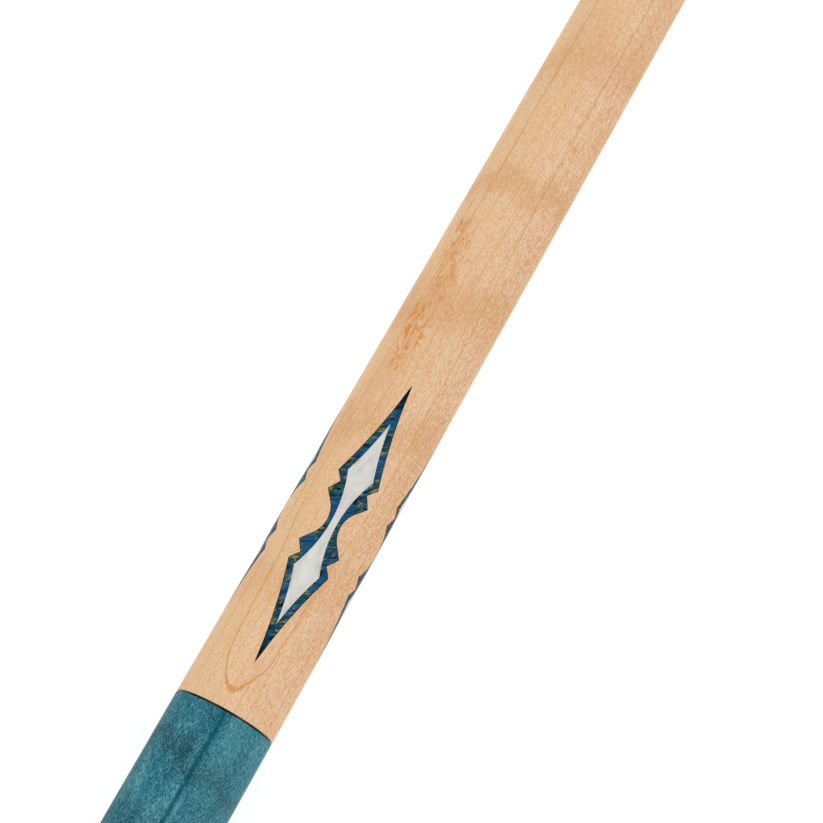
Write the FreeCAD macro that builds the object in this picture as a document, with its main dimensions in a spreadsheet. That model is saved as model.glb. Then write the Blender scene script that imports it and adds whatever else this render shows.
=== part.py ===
import FreeCAD, Part
import math
import os
import Sketcher

# A two-piece pool cue: a butt with an inlaid maple forearm and a stained handle, and a maple shaft.
# The cue lies along +X with +Z up. The origin is the centre of the bumper's end face, so a station,
# an x value, is the distance from the butt end. One of the four forearm inlays faces +Z.

SIZES = [
    # Overall lengths and the outside taper, which is a compound taper with its break at the A-joint.
    ("cue_length", 1473.0),
    ("joint_station", 737.0),
    ("a_joint_station", 432.0),
    ("butt_end_radius", 16.2),
    ("a_joint_radius", 13.55),
    ("joint_radius", 10.9),
    ("glue_gap", 0.05),
    # Decorative rings: the wide nickel silver ones and the thin black lines.
    ("wide_ring", 1.5),
    ("line_ring", 0.6),
    # Rubber bumper and the cap that it plugs into.
    ("bumper_length", 9.0),
    ("bumper_radius", 13.0),
    ("bumper_edge", 2.5),
    ("bumper_lip", 0.8),
    ("plug_length", 12.0),
    ("plug_radius", 6.2),
    ("plug_hole_radius", 6.3),
    ("cap_length", 28.0),
    ("cap_edge", 1.5),
    ("sleeve_length", 119.5),
    # Handle core: rear tenon through sleeve and cap, front tenon into the forearm.
    ("rear_tenon_radius", 10.0),
    ("rear_tenon_station", 22.0),
    ("front_tenon_radius", 9.0),
    ("front_tenon_length", 20.0),
    ("tenon_chamfer", 0.8),
    # Weight bolt, a 3/8-16 socket screw in the handle core, and the 3/8-16 stud of the A-joint.
    ("bolt_radius", 4.76),
    ("bolt_hole_radius", 4.8),
    ("bolt_station", 60.0),
    ("bolt_length", 76.0),
    ("bolt_pitch", 1.5875),
    ("bolt_thread_depth", 0.75),
    ("bolt_hole_end", 144.0),
    ("socket_key", 4.76),
    ("socket_depth", 6.0),
    ("stud_length", 70.0),
    ("stud_grip", 45.0),
    # Joint: 3/8-10 pin in the forearm's tenon, phenolic collars, brass insert in the shaft.
    ("collar_length", 18.5),
    ("shaft_collar_length", 12.0),
    ("joint_tenon_radius", 7.95),
    ("pin_radius", 4.68),
    ("pin_root_radius", 3.93),
    ("pin_pitch", 2.54),
    ("pin_reach", 32.0),
    ("pin_seat", 44.0),
    ("pin_chamfer", 1.0),
    ("thread_root_width", 0.5),
    ("thread_mouth_width", 1.9),
    ("thread_play", 0.36),
    ("thread_lead_in", 1.2),
    ("insert_radius", 6.35),
    ("insert_length", 38.0),
    ("insert_bore_radius", 4.1),
    ("insert_major_radius", 4.9),
    ("insert_mouth", 3.0),
    ("shaft_relief_depth", 18.0),
    # Shaft: a cone, then a long arc into a parallel front section.
    ("shaft_arc_station", 1010.0),
    ("shaft_parallel_station", 1160.0),
    ("shaft_tip_radius", 6.5),
    ("ferrule_length", 25.4),
    ("ferrule_tenon_radius", 4.0),
    ("ferrule_wall", 3.5),
    ("pad_thickness", 1.0),
    ("tip_length", 6.5),
    ("tip_dome_radius", 10.6),
    # Inlay: a long double-pointed frame, waisted in the middle, that holds a pearl core.
    ("forearm_inlay_station", 486.1),
    ("sleeve_inlay_station", 98.25),
    ("inlay_count", 4),
    ("frame_reach", 40.0),
    ("frame_long_arc", 145.0),
    ("frame_barb_station", 12.75),
    ("frame_barb_width", 5.5),
    ("frame_notch_station", 10.3),
    ("frame_notch_width", 3.6),
    ("frame_horn_station", 7.35),
    ("frame_neck_station", 5.05),
    ("frame_neck_width", 3.75),
    ("frame_waist_arc", 7.6),
    ("frame_depth", 2.6),
    ("core_reach", 29.1),
    ("core_long_arc", 86.0),
    ("core_barb_station", 13.75),
    ("core_barb_width", 3.55),
    ("core_waist_arc", 36.1),
    ("core_depth", 1.6),
    ("point_gap", 0.35),
    ("cut_margin", 3.0),
]


class Size:
    """A number together with the spreadsheet formula that gives it."""

    def __init__(self, number, formula):
        self.number = number
        self.formula = formula

    def joined(self, sign, other, number):
        return Size(number, f"({self.formula} {sign} {other.formula})")

    def __add__(self, other):
        return self.joined("+", other, self.number + other.number)

    def __sub__(self, other):
        return self.joined("-", other, self.number - other.number)

    def __mul__(self, other):
        other = plain(other)
        return self.joined("*", other, self.number * other.number)

    def __truediv__(self, other):
        other = plain(other)
        return self.joined("/", other, self.number / other.number)

    def __neg__(self):
        return Size(-self.number, f"(0 - {self.formula})")


def plain(value):
    return value if isinstance(value, Size) else Size(float(value), str(value))


class Bend:
    """An arc between two corners of an outline, with its centre to the left or right of the way."""

    def __init__(self, radius, side):
        self.radius = radius
        self.side = side


ZERO = Size(0.0, "0")

doc = FreeCAD.newDocument("pool_cue")
sheet = doc.addObject("Spreadsheet::Sheet", "sizes")
size = {}
for row, (alias, value) in enumerate(SIZES, start=1):
    sheet.set(f"A{row}", alias)
    sheet.set(f"B{row}", str(value))
    sheet.setAlias(f"B{row}", alias)
    size[alias] = Size(float(value), f"sizes.{alias}")
doc.recompute()


# Stations of the piece ends, from the butt to the tip.
cap_start = size["bumper_length"]
cap_end = cap_start + size["cap_length"]
sleeve_start = cap_end + size["wide_ring"]
sleeve_end = sleeve_start + size["sleeve_length"]
handle_start = sleeve_end + size["line_ring"]
handle_end = size["a_joint_station"] - size["line_ring"] / 2
forearm_start = size["a_joint_station"] + size["line_ring"] / 2
joint_face = size["joint_station"]
collar_start = joint_face - size["collar_length"]
forearm_end = collar_start - size["wide_ring"]
shaft_ring_start = joint_face + size["shaft_collar_length"]
shaft_start = shaft_ring_start + size["wide_ring"]
tip_end = size["cue_length"]
tip_start = tip_end - size["tip_length"]
pad_start = tip_start - size["pad_thickness"]
shaft_end = pad_start - size["ferrule_length"]
front_tenon_end = handle_end + size["front_tenon_length"]
stud_start = size["a_joint_station"] - size["stud_grip"]
stud_end = stud_start + size["stud_length"]

# The shaft's cone meets its arc at a common tangent, and the arc is level where it ends.
arc_run = size["shaft_parallel_station"] - size["shaft_arc_station"]
cone_run = size["shaft_arc_station"] - joint_face
shaft_drop = size["joint_radius"] - size["shaft_tip_radius"]
shaft_arc_radius = (arc_run * arc_run / 2 + arc_run * cone_run) / shaft_drop
shaft_slope = arc_run / shaft_arc_radius


def butt_radius(station):
    """Outside radius behind the A-joint."""
    slope = (size["butt_end_radius"] - size["a_joint_radius"]) / size["a_joint_station"]
    return size["butt_end_radius"] - slope * station


def forearm_radius(station):
    """Outside radius from the A-joint to the joint face."""
    run = joint_face - size["a_joint_station"]
    slope = (size["a_joint_radius"] - size["joint_radius"]) / run
    return size["a_joint_radius"] - slope * (station - size["a_joint_station"])


def shaft_radius(station):
    """Outside radius on the shaft's cone."""
    return size["joint_radius"] - shaft_slope * (station - joint_face)


def origin_feature(body, role):
    return next(feature for feature in body.Origin.OriginFeatures if feature.Role == role)


def new_body(label, station=ZERO, turn=0.0):
    """An empty body whose own origin is on the cue's axis, turned about that axis."""
    body = doc.addObject("PartDesign::Body", label)
    body.Label = label
    body.Placement = FreeCAD.Placement(FreeCAD.Vector(), FreeCAD.Rotation(FreeCAD.Vector(1, 0, 0), turn))
    body.setExpression("Placement.Base.x", station.formula)
    return body


def arc_of(start, end, bend):
    """The arc from start to end as a counter-clockwise curve, and whether that swaps its ends."""
    chord = end - start
    rise = math.sqrt(bend.radius.number ** 2 - (chord.Length / 2) ** 2)
    left = FreeCAD.Vector(-chord.y, chord.x, 0).normalize()
    centre = (start + end) / 2 + left * (rise if bend.side == "left" else -rise)
    swapped = bend.side == "right"
    first, last = (end, start) if swapped else (start, end)
    first_angle = math.atan2(first.y - centre.y, first.x - centre.x)
    last_angle = math.atan2(last.y - centre.y, last.x - centre.x)
    if last_angle < first_angle:
        last_angle += 2 * math.pi
    circle = Part.Circle(centre, FreeCAD.Vector(0, 0, 1), bend.radius.number)
    return Part.ArcOfCircle(circle, first_angle, last_angle), swapped


def hold(sketch, element, corner, x, y):
    """Fixes one corner by its two distances from the sketch's origin."""
    if x is ZERO:
        sketch.addConstraint(Sketcher.Constraint("PointOnObject", element, corner, -2))
    else:
        index = sketch.addConstraint(Sketcher.Constraint("DistanceX", -1, 1, element, corner, x.number))
        sketch.setExpression(f"Constraints[{index}]", x.formula)
    if y is ZERO:
        sketch.addConstraint(Sketcher.Constraint("PointOnObject", element, corner, -1))
    else:
        index = sketch.addConstraint(Sketcher.Constraint("DistanceY", -1, 1, element, corner, y.number))
        sketch.setExpression(f"Constraints[{index}]", y.formula)


def new_sketch(body, name, outline, plane="XY_Plane", height=None):
    """A closed outline of (x, y) corners, with a Bend wherever two corners are joined by an arc."""
    sketch = body.newObject("Sketcher::SketchObject", f"{body.Name}_{name}")
    sketch.AttachmentSupport = [(origin_feature(body, plane), "")]
    sketch.MapMode = "FlatFace"
    if height is not None:
        sketch.setExpression("AttachmentOffset.Base.z", height.formula)
    corners = []
    bends = {}
    for step in outline:
        if isinstance(step, Bend):
            bends[len(corners) - 1] = step
        else:
            corners.append(step)
    points = [FreeCAD.Vector(x.number, y.number, 0) for x, y in corners]
    ends = []
    for index, start in enumerate(points):
        end = points[(index + 1) % len(points)]
        if index in bends:
            curve, swapped = arc_of(start, end, bends[index])
        else:
            curve, swapped = Part.LineSegment(start, end), False
        sketch.addGeometry(curve, False)
        ends.append((2, 1) if swapped else (1, 2))
    for index, (x, y) in enumerate(corners):
        after = (index + 1) % len(corners)
        sketch.addConstraint(Sketcher.Constraint("Coincident", index, ends[index][1], after, ends[after][0]))
        hold(sketch, index, ends[index][0], x, y)
    for index, bend in bends.items():
        number = sketch.addConstraint(Sketcher.Constraint("Radius", index, bend.radius.number))
        sketch.setExpression(f"Constraints[{number}]", bend.radius.formula)
    return sketch


def turn_solid(body, profile):
    """Revolves an (x, radius) profile about the cue's axis."""
    sketch = new_sketch(body, "profile", profile)
    feature = body.newObject("PartDesign::Revolution", f"{body.Name}_turned")
    feature.Profile = sketch
    feature.ReferenceAxis = (sketch, ["H_Axis"])
    feature.Angle = 360.0
    return feature


def turned(label, profile):
    body = new_body(label)
    turn_solid(body, profile)
    return body


def ring(label, start, end, bore, outside):
    """A ring whose outside follows the cue's taper."""
    return turned(label, [(start, bore), (end, bore), (end, outside(end)), (start, outside(start))])


def cut_thread(body, name, profile, pitch, run):
    """Cuts a right-handed helical groove along +X, with the groove's section given as an outline."""
    sketch = new_sketch(body, name, profile)
    groove = body.newObject("PartDesign::SubtractiveHelix", f"{body.Name}_{name}_groove")
    groove.Profile = sketch
    groove.ReferenceAxis = (sketch, ["H_Axis"])
    groove.Mode = "pitch-height-angle"
    groove.setExpression("Pitch", pitch.formula)
    groove.setExpression("Height", run.formula)
    groove.LeftHanded = False
    groove.Reversed = False


def cut_screw(body, radius, start, end):
    """Cuts a 60 degree 3/8-16 thread over the whole length of a screw."""
    pitch = size["bolt_pitch"]
    root = radius - size["bolt_thread_depth"]
    outside = radius + size["bolt_thread_depth"] / 4
    root_half = pitch / 12
    outside_half = root_half + (outside - root) * math.tan(math.radians(30))
    middle = start - pitch
    profile = [
        (middle - root_half, root),
        (middle + root_half, root),
        (middle + outside_half, outside),
        (middle - outside_half, outside),
    ]
    cut_thread(body, "thread", profile, pitch, end - start + pitch * 2)


def bumper():
    """Push-in rubber foot: a rounded flange with a short lip ring and a ribbed plug."""
    flange = size["bumper_length"]
    edge = size["bumper_edge"]
    lip = size["bumper_lip"]
    radius = size["bumper_radius"]
    plug = size["plug_radius"]
    plug_end = flange + size["plug_length"]
    groove = plug - lip
    profile = [
        (ZERO, ZERO),
        (ZERO, radius - edge),
        Bend(edge, "right"),
        (edge, radius),
        (flange - lip, radius),
        (flange - lip, radius + lip),
        (flange, radius + lip),
        (flange, plug),
        (flange + lip * 3, plug),
        (flange + lip * 4, groove),
        (flange + lip * 6, groove),
        (flange + lip * 7, plug),
        (plug_end - lip, plug),
        (plug_end, groove),
        (plug_end, ZERO),
    ]
    turned("bumper", profile)


def butt_cap():
    """Phenolic cap: bumper socket behind, counterbore for the handle's tenon in front."""
    edge = size["cap_edge"]
    socket = size["plug_hole_radius"]
    counterbore = size["rear_tenon_radius"] + size["glue_gap"]
    floor = size["rear_tenon_station"]
    profile = [
        (cap_start, socket),
        (floor, socket),
        (floor, counterbore),
        (cap_end, counterbore),
        (cap_end, butt_radius(cap_end)),
        (cap_start + edge, butt_radius(cap_start + edge)),
        Bend(edge, "left"),
        (cap_start, butt_radius(cap_start) - edge),
    ]
    turned("butt_cap", profile)


def frame_outline(gap=ZERO, point_gap=ZERO):
    """Outline of the inlay frame, long points along X; the gaps make it the size of its pocket."""
    reach = size["frame_reach"] + point_gap
    barb_x = size["frame_barb_station"] + gap
    barb_y = size["frame_barb_width"] + gap
    notch_x = size["frame_notch_station"]
    notch_y = size["frame_notch_width"] + gap
    horn_x = size["frame_horn_station"] - gap
    neck_x = size["frame_neck_station"]
    neck_y = size["frame_neck_width"] + gap
    long_arc = size["frame_long_arc"]
    waist_arc = size["frame_waist_arc"]
    return [
        (reach, ZERO),
        Bend(long_arc, "right"),
        (barb_x, barb_y),
        (notch_x, notch_y),
        (horn_x, barb_y),
        (neck_x, neck_y),
        Bend(waist_arc, "right"),
        (-neck_x, neck_y),
        (-horn_x, barb_y),
        (-notch_x, notch_y),
        (-barb_x, barb_y),
        Bend(long_arc, "right"),
        (-reach, ZERO),
        Bend(long_arc, "right"),
        (-barb_x, -barb_y),
        (-notch_x, -notch_y),
        (-horn_x, -barb_y),
        (-neck_x, -neck_y),
        Bend(waist_arc, "right"),
        (neck_x, -neck_y),
        (horn_x, -barb_y),
        (notch_x, -notch_y),
        (barb_x, -barb_y),
        Bend(long_arc, "right"),
    ]


def core_outline(gap=ZERO, point_gap=ZERO):
    """Outline of the pearl core: a slimmer double point with one long waist."""
    reach = size["core_reach"] + point_gap
    barb_x = size["core_barb_station"]
    barb_y = size["core_barb_width"] + gap
    long_arc = size["core_long_arc"]
    waist_arc = size["core_waist_arc"]
    return [
        (reach, ZERO),
        Bend(long_arc, "right"),
        (barb_x, barb_y),
        Bend(waist_arc, "right"),
        (-barb_x, barb_y),
        Bend(long_arc, "right"),
        (-reach, ZERO),
        Bend(long_arc, "right"),
        (-barb_x, -barb_y),
        Bend(waist_arc, "right"),
        (barb_x, -barb_y),
        Bend(long_arc, "right"),
    ]


def pocket_up(body, name, outline, floor):
    """Cuts everything above a flat floor, inside the outline."""
    pocket = body.newObject("PartDesign::Pocket", f"{body.Name}_{name}_pocket")
    pocket.Profile = new_sketch(body, name, outline, height=floor)
    pocket.Type = "ThroughAll"
    pocket.Reversed = True
    return pocket


def pad_to_surface(body, outline, floor, station, outside):
    """Pads the outline up from its floor and trims it to the cue's tapered outside."""
    margin = size["cut_margin"]
    surface = outside(station)
    pad = body.newObject("PartDesign::Pad", f"{body.Name}_pad")
    pad.Profile = new_sketch(body, "outline", outline, height=floor)
    pad.setExpression("Length", (surface - floor + margin).formula)
    reach = size["frame_reach"] + margin
    over = surface + margin * 3
    waste = [
        (-reach, outside(station - reach)),
        (reach, outside(station + reach)),
        (reach, over),
        (-reach, over),
    ]
    sketch = new_sketch(body, "waste", waste)
    trim = body.newObject("PartDesign::Groove", f"{body.Name}_trim")
    trim.Profile = sketch
    trim.ReferenceAxis = (sketch, ["H_Axis"])
    trim.Angle = 360.0


def cut_inlay_pockets(body, profile_feature, station, outside):
    """Cuts the frame pockets, evenly spaced round a turned piece."""
    floor = outside(station) - size["frame_depth"]
    outline = []
    for step in frame_outline(size["glue_gap"], size["point_gap"]):
        outline.append(step if isinstance(step, Bend) else (station + step[0], step[1]))
    pocket = pocket_up(body, "inlay", outline, floor)
    pattern = body.newObject("PartDesign::PolarPattern", f"{body.Name}_inlay_pattern")
    pattern.Originals = [pocket]
    pattern.Axis = (profile_feature.Profile[0], ["H_Axis"])
    pattern.Angle = 360.0
    pattern.setExpression("Occurrences", size["inlay_count"].formula)
    body.Tip = pattern


def inlays(prefix, station, outside):
    """The frames and cores of one band of inlays; their pieces are equal and only turned."""
    count = int(size["inlay_count"].number)
    frame_floor = outside(station) - size["frame_depth"]
    core_floor = outside(station) - size["core_depth"]
    for number in range(count):
        turn = 360.0 * number / count
        frame = new_body(f"{prefix}_inlay_frame_{number + 1}", station, turn)
        pad_to_surface(frame, frame_outline(), frame_floor, station, outside)
        pocket_up(frame, "core", core_outline(size["glue_gap"], size["point_gap"]), core_floor)
        core = new_body(f"{prefix}_inlay_core_{number + 1}", station, turn)
        pad_to_surface(core, core_outline(), core_floor, station, outside)


def butt_sleeve():
    bore = size["rear_tenon_radius"] + size["glue_gap"]
    body = new_body("butt_sleeve")
    profile = [
        (sleeve_start, bore),
        (sleeve_end, bore),
        (sleeve_end, butt_radius(sleeve_end)),
        (sleeve_start, butt_radius(sleeve_start)),
    ]
    turning = turn_solid(body, profile)
    cut_inlay_pockets(body, turning, size["sleeve_inlay_station"], butt_radius)


def handle():
    """Stained handle with its long rear tenon, front tenon, bolt bore and stud bore."""
    hole = size["bolt_hole_radius"]
    rear = size["rear_tenon_radius"]
    front = size["front_tenon_radius"]
    chamfer = size["tenon_chamfer"]
    tenon_start = size["rear_tenon_station"]
    profile = [
        (tenon_start, hole),
        (size["bolt_hole_end"], hole),
        (size["bolt_hole_end"], ZERO),
        (stud_start, ZERO),
        (stud_start, hole),
        (front_tenon_end, hole),
        (front_tenon_end, front - chamfer),
        (front_tenon_end - chamfer, front),
        (handle_end, front),
        (handle_end, butt_radius(handle_end)),
        (handle_start, butt_radius(handle_start)),
        (handle_start, rear),
        (tenon_start, rear),
    ]
    turned("handle", profile)


def weight_bolt():
    start = size["bolt_station"]
    end = start + size["bolt_length"]
    radius = size["bolt_radius"]
    chamfer = size["bolt_thread_depth"]
    profile = [
        (start, ZERO),
        (start, radius - chamfer),
        (start + chamfer, radius),
        (end - chamfer, radius),
        (end, radius - chamfer),
        (end, ZERO),
    ]
    body = turned("weight_bolt", profile)
    cut_screw(body, radius, start, end)
    socket = body.newObject("PartDesign::SubtractivePrism", "weight_bolt_socket")
    socket.AttachmentSupport = [(origin_feature(body, "YZ_Plane"), "")]
    socket.MapMode = "FlatFace"
    socket.Polygon = 6
    socket.setExpression("AttachmentOffset.Base.z", start.formula)
    socket.setExpression("Circumradius", f"{size['socket_key'].formula} / sqrt(3)")
    socket.setExpression("Height", size["socket_depth"].formula)


def a_joint_stud():
    radius = size["bolt_radius"]
    chamfer = size["bolt_thread_depth"]
    profile = [
        (stud_start, ZERO),
        (stud_start, radius - chamfer),
        (stud_start + chamfer, radius),
        (stud_end - chamfer, radius),
        (stud_end, radius - chamfer),
        (stud_end, ZERO),
    ]
    body = turned("a_joint_stud", profile)
    cut_screw(body, radius, stud_start, stud_end)


def forearm():
    """Maple forearm: socket for the handle's tenon behind, long tenon for the joint in front."""
    gap = size["glue_gap"]
    socket = size["front_tenon_radius"] + gap
    socket_floor = front_tenon_end + gap
    hole = size["bolt_hole_radius"]
    pin_hole = size["pin_radius"] + gap
    pin_floor = joint_face - size["pin_seat"]
    tenon = size["joint_tenon_radius"]
    body = new_body("forearm")
    profile = [
        (forearm_start, socket),
        (socket_floor, socket),
        (socket_floor, hole),
        (stud_end, hole),
        (stud_end, ZERO),
        (pin_floor, ZERO),
        (pin_floor, pin_hole),
        (joint_face, pin_hole),
        (joint_face, tenon),
        (forearm_end, tenon),
        (forearm_end, forearm_radius(forearm_end)),
        (forearm_start, forearm_radius(forearm_start)),
    ]
    turning = turn_solid(body, profile)
    cut_inlay_pockets(body, turning, size["forearm_inlay_station"], forearm_radius)


def joint_pin():
    """Stainless pin: glue grooves along the seat in the forearm, coarse thread where it stands out."""
    radius = size["pin_radius"]
    root = size["pin_root_radius"]
    chamfer = size["pin_chamfer"]
    start = joint_face - size["pin_seat"]
    end = joint_face + size["pin_reach"]
    profile = [(start, ZERO), (start, radius - chamfer), (start + chamfer, radius)]
    groove_count = 6
    spacing = size["pin_seat"] / (groove_count + 1)
    for number in range(1, groove_count + 1):
        middle = start + spacing * number
        profile += [
            (middle - chamfer, radius),
            (middle - chamfer / 2, root),
            (middle + chamfer / 2, root),
            (middle + chamfer, radius),
        ]
    profile += [(end - chamfer, radius), (end, root - chamfer / 2), (end, ZERO)]
    body = turned("joint_pin", profile)
    middle = joint_face + size["thread_lead_in"]
    flank = (size["thread_mouth_width"] - size["thread_root_width"]) / (radius - root)
    outside = radius + size["thread_play"] / 2
    root_half = size["thread_root_width"] / 2
    outside_half = root_half + flank * (outside - root) / 2
    section = [
        (middle - root_half, root),
        (middle + root_half, root),
        (middle + outside_half, outside),
        (middle - outside_half, outside),
    ]
    cut_thread(body, "thread", section, size["pin_pitch"], size["pin_reach"] + size["pin_pitch"])


def shaft_insert():
    """Brass insert whose internal thread runs on the pin with the same phase."""
    start = joint_face
    end = joint_face + size["insert_length"]
    bore = size["insert_bore_radius"]
    major = size["insert_major_radius"]
    outside = size["insert_radius"]
    mouth = joint_face + size["insert_mouth"]
    chamfer = size["tenon_chamfer"]
    profile = [
        (start, major),
        (mouth, major),
        (mouth + chamfer, bore),
        (end, bore),
        (end, outside - chamfer),
        (end - chamfer, outside),
        (start, outside),
    ]
    body = turned("shaft_insert", profile)
    pitch = size["pin_pitch"]
    middle = joint_face + size["thread_lead_in"] - pitch / 2
    flank = (size["thread_mouth_width"] - size["thread_root_width"]) / (
        size["pin_radius"] - size["pin_root_radius"])
    inside = bore - size["thread_play"] / 2
    ridge_at_root = pitch - size["thread_root_width"] + size["thread_play"]
    inside_half = (ridge_at_root - flank * (inside - size["pin_root_radius"])) / 2
    major_half = (ridge_at_root - flank * (major - size["pin_root_radius"])) / 2
    section = [
        (middle - inside_half, inside),
        (middle + inside_half, inside),
        (middle + major_half, major),
        (middle - major_half, major),
    ]
    cut_thread(body, "thread", section, pitch, size["insert_length"] + pitch * 3)


def shaft():
    """Maple shaft: joint tenon with the insert's bore, pro taper, ferrule tenon."""
    gap = size["glue_gap"]
    tenon = size["joint_tenon_radius"]
    bore = size["insert_radius"] + gap
    bore_end = joint_face + size["insert_length"]
    relief = size["insert_major_radius"]
    relief_end = bore_end + size["shaft_relief_depth"]
    tip_radius = size["shaft_tip_radius"]
    arc_start = size["shaft_arc_station"]
    tenon_end = pad_start - size["ferrule_wall"] - gap
    profile = [
        (joint_face, bore),
        (bore_end, bore),
        (bore_end, relief),
        (relief_end, relief),
        (relief_end, ZERO),
        (tenon_end, ZERO),
        (tenon_end, size["ferrule_tenon_radius"]),
        (shaft_end, size["ferrule_tenon_radius"]),
        (shaft_end, tip_radius),
        (size["shaft_parallel_station"], tip_radius),
        Bend(shaft_arc_radius, "right"),
        (arc_start, shaft_radius(arc_start)),
        (shaft_start, shaft_radius(shaft_start)),
        (shaft_start, tenon),
        (joint_face, tenon),
    ]
    turned("shaft", profile)


def ferrule():
    """Capped ferrule over the shaft's front tenon."""
    bore = size["ferrule_tenon_radius"] + size["glue_gap"]
    bore_end = pad_start - size["ferrule_wall"]
    radius = size["shaft_tip_radius"]
    profile = [
        (shaft_end, bore),
        (bore_end, bore),
        (bore_end, ZERO),
        (pad_start, ZERO),
        (pad_start, radius),
        (shaft_end, radius),
    ]
    turned("ferrule", profile)


def tip_pad():
    radius = size["shaft_tip_radius"]
    turned("tip_pad", [(pad_start, ZERO), (tip_start, ZERO), (tip_start, radius), (pad_start, radius)])


def tip():
    """Domed leather tip; the dome's height follows from its radius and the tip's."""
    radius = size["shaft_tip_radius"]
    dome = size["tip_dome_radius"]
    height_number = dome.number - math.sqrt(dome.number ** 2 - radius.number ** 2)
    height_formula = f"({dome.formula} - sqrt({dome.formula} ^ 2 - {radius.formula} ^ 2))"
    shoulder = tip_end - Size(height_number, height_formula)
    profile = [
        (tip_start, ZERO),
        (tip_end, ZERO),
        Bend(dome, "left"),
        (shoulder, radius),
        (tip_start, radius),
    ]
    turned("tip", profile)


bumper()
butt_cap()
rear_bore = size["rear_tenon_radius"] + size["glue_gap"]
front_bore = size["front_tenon_radius"] + size["glue_gap"]
joint_bore = size["joint_tenon_radius"] + size["glue_gap"]
ring("butt_cap_ring", cap_end, sleeve_start, rear_bore, butt_radius)
butt_sleeve()
inlays("sleeve", size["sleeve_inlay_station"], butt_radius)
ring("handle_rear_ring", sleeve_end, handle_start, rear_bore, butt_radius)
handle()
weight_bolt()
ring("a_joint_ring", handle_end, forearm_start, front_bore, forearm_radius)
a_joint_stud()
forearm()
inlays("forearm", size["forearm_inlay_station"], forearm_radius)
ring("butt_joint_ring", forearm_end, collar_start, joint_bore, forearm_radius)
ring("butt_joint_collar", collar_start, joint_face, joint_bore, forearm_radius)
joint_pin()
ring("shaft_joint_collar", joint_face, shaft_ring_start, joint_bore, shaft_radius)
ring("shaft_joint_ring", shaft_ring_start, shaft_start, joint_bore, shaft_radius)
shaft_insert()
shaft()
ferrule()
tip_pad()
tip()
doc.recompute()

# Nothing is written unless every object of the document and every solid is sound.
failed = [item.Name for item in doc.Objects if "Invalid" in item.State or "Error" in item.State]
bodies = [item for item in doc.Objects if item.TypeId == "PartDesign::Body"]
broken = [body.Label for body in bodies if body.Shape.isNull() or not body.Shape.isValid()]
split = [body.Label for body in bodies if len(body.Shape.Solids) != 1]
if failed or broken or split:
    raise RuntimeError(f"failed {failed}, broken {broken}, not one solid {split}")

os.makedirs("parts", exist_ok=True)
for body in bodies:
    body.Shape.exportStep(os.path.join("parts", f"{body.Label}.step"))
    print(f"{body.Label:28s} {body.Shape.Volume / 1000:9.3f} cm3")
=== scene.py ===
import math

import bmesh
import bpy
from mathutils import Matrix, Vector
from mathutils.geometry import delaunay_2d_cdt


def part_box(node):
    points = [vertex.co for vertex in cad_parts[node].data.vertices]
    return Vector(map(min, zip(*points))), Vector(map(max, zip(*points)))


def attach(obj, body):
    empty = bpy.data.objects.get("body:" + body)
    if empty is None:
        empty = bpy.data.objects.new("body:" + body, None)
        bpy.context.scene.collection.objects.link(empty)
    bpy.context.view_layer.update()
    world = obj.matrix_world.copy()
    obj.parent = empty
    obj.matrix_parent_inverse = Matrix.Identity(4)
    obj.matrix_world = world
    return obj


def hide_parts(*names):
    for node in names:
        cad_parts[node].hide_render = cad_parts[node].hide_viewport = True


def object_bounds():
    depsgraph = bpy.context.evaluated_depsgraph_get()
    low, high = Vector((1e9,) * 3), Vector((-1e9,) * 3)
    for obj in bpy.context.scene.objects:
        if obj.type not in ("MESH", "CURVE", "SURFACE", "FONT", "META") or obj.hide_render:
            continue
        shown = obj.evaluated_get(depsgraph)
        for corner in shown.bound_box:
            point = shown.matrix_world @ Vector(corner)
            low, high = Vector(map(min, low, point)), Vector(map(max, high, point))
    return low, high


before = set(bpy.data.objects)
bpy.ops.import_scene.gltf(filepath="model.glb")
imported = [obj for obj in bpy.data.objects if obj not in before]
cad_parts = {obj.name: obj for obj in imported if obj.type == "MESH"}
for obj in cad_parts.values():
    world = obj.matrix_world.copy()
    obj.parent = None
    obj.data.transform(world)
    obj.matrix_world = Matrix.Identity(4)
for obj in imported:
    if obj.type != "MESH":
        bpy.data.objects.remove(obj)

# A pool cue along +X, seen from above. Geometry is in metres; sizes written in millimetres are
# multiplied by MM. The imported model's boxes give the stations and radii of every piece.

MM = 0.001
cad_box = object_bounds()

SEGMENTS = 144  # faces round each turned piece
SAME_PLACE = 1e-7  # points closer than this are one point

# Radii inside the cue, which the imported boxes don't show. Each tenon's bore is a glue gap wider.
GLUE_GAP = 0.05 * MM
REAR_TENON = 10.0 * MM
FRONT_TENON = 9.0 * MM
JOINT_TENON = 7.95 * MM
FERRULE_TENON = 4.0 * MM
ROD_HOLE = 4.8 * MM  # for the weight bolt and the A-joint stud


class Extent:
    """Where a turned node starts and ends along the cue, and its largest radius."""

    def __init__(self, node):
        low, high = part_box(node)
        self.rear, self.front = low.x, high.x
        self.radius = max(high.z, -low.z, high.y, -low.y)


extents = {
    node: Extent(node) for node in (
        "bumper", "butt_cap", "butt_cap_ring", "butt_sleeve", "sleeve_inlay_frame_1", "handle_rear_ring",
        "handle", "a_joint_ring", "a_joint_stud", "forearm", "forearm_inlay_frame_1", "butt_joint_ring",
        "butt_joint_collar", "joint_pin", "shaft_joint_collar", "shaft_joint_ring", "shaft_insert",
        "shaft", "ferrule", "tip_pad", "tip")
}


def rear(node):
    """Station of the node's end nearer the butt."""
    return extents[node].rear


def front(node):
    """Station of the node's end nearer the tip."""
    return extents[node].front


def widest(node):
    """Largest radius of a turned node."""
    return extents[node].radius


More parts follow.
